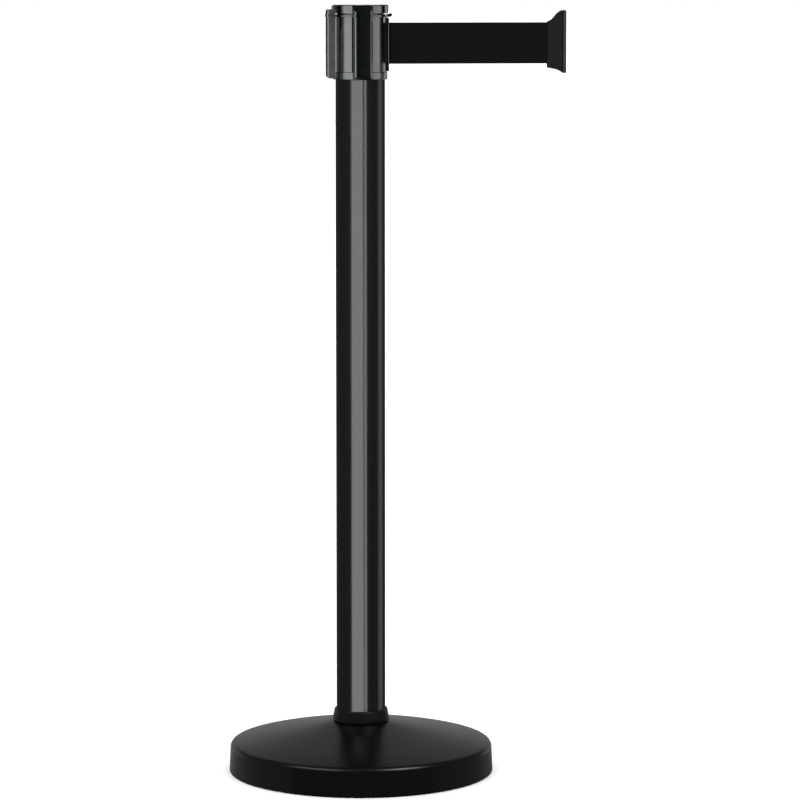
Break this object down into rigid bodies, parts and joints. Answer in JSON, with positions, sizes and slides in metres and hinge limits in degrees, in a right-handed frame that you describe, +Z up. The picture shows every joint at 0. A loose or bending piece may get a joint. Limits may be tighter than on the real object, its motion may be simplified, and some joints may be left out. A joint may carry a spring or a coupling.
{
  "type": "retractable belt stanchion",
  "caption": "Black post stanchion with a domed weighted base, a belt head with slotted receivers, and a retractable webbing belt that ends in a T-shaped clip.",
  "frame": {"origin": "centre of the round base, on the floor", "axes": "+Z up along the post, +X the way the belt is pulled out, -Y the side of the front receiver"},
  "size_m": [0.4345, 0.342, 0.99],
  "materials": {
    "base_coat": "satin black powder coat",
    "post_coat": "semi-gloss black coat on drawn tube",
    "head_plastic": "glossy moulded black",
    "clip_plastic": "moulded black",
    "collar_plastic": "moulded black",
    "webbing": "woven polyester webbing",
    "rubber": "moulded",
    "cast_iron": "as cast",
    "zinc_steel": "zinc plated",
    "spring_steel": "blued strip",
    "nylon": "natural moulded"
  },
  "bodies": {
    "root": {"floor_ring": "rubber", "base_weight": "cast_iron", "base_cover": "base_coat", "base_collar": "collar_plastic", "bottom_plug": "zinc_steel", "post_bolt": "zinc_steel", "bolt_washer": "zinc_steel", "lock_washer": "zinc_steel", "post_tube": "post_coat", "top_plug": "nylon", "head_screws": "zinc_steel", "head_housing": "head_plastic", "head_cap": "head_plastic", "spindle": "zinc_steel", "spindle_clip": "zinc_steel", "thrust_washer": "nylon", "belt_inner_run": "webbing"},
    "spool": {"spool_drum": "nylon", "spool_lid": "nylon", "lower_bush": "nylon", "upper_bush": "nylon", "power_spring": "spring_steel", "belt_coil": "webbing"},
    "belt_end": {"belt_strip": "webbing", "belt_end_front": "clip_plastic", "belt_end_back": "clip_plastic", "clip_screws": "zinc_steel", "belt_pin": "zinc_steel"}
  },
  "joints": [
    {"name": "belt_pull", "type": "slide", "parent": "root", "child": "belt_end", "axis": [1, 0, 0], "range_m": [-0.2062, 1.78], "stiffness_N_per_m": 3, "springref_m": -1.5, "deforming": ["belt_strip"]},
    {"name": "spool_spin", "type": "hinge", "parent": "root", "child": "spool", "pos_m": [0, 0, 0.9411], "axis": [0, 0, 1], "continuous": true, "deforming": ["power_spring"]}
  ],
  "couplings": [
    {"joint": "spool_spin", "follows": "belt_pull", "rad_per_m": -48}
  ]
}
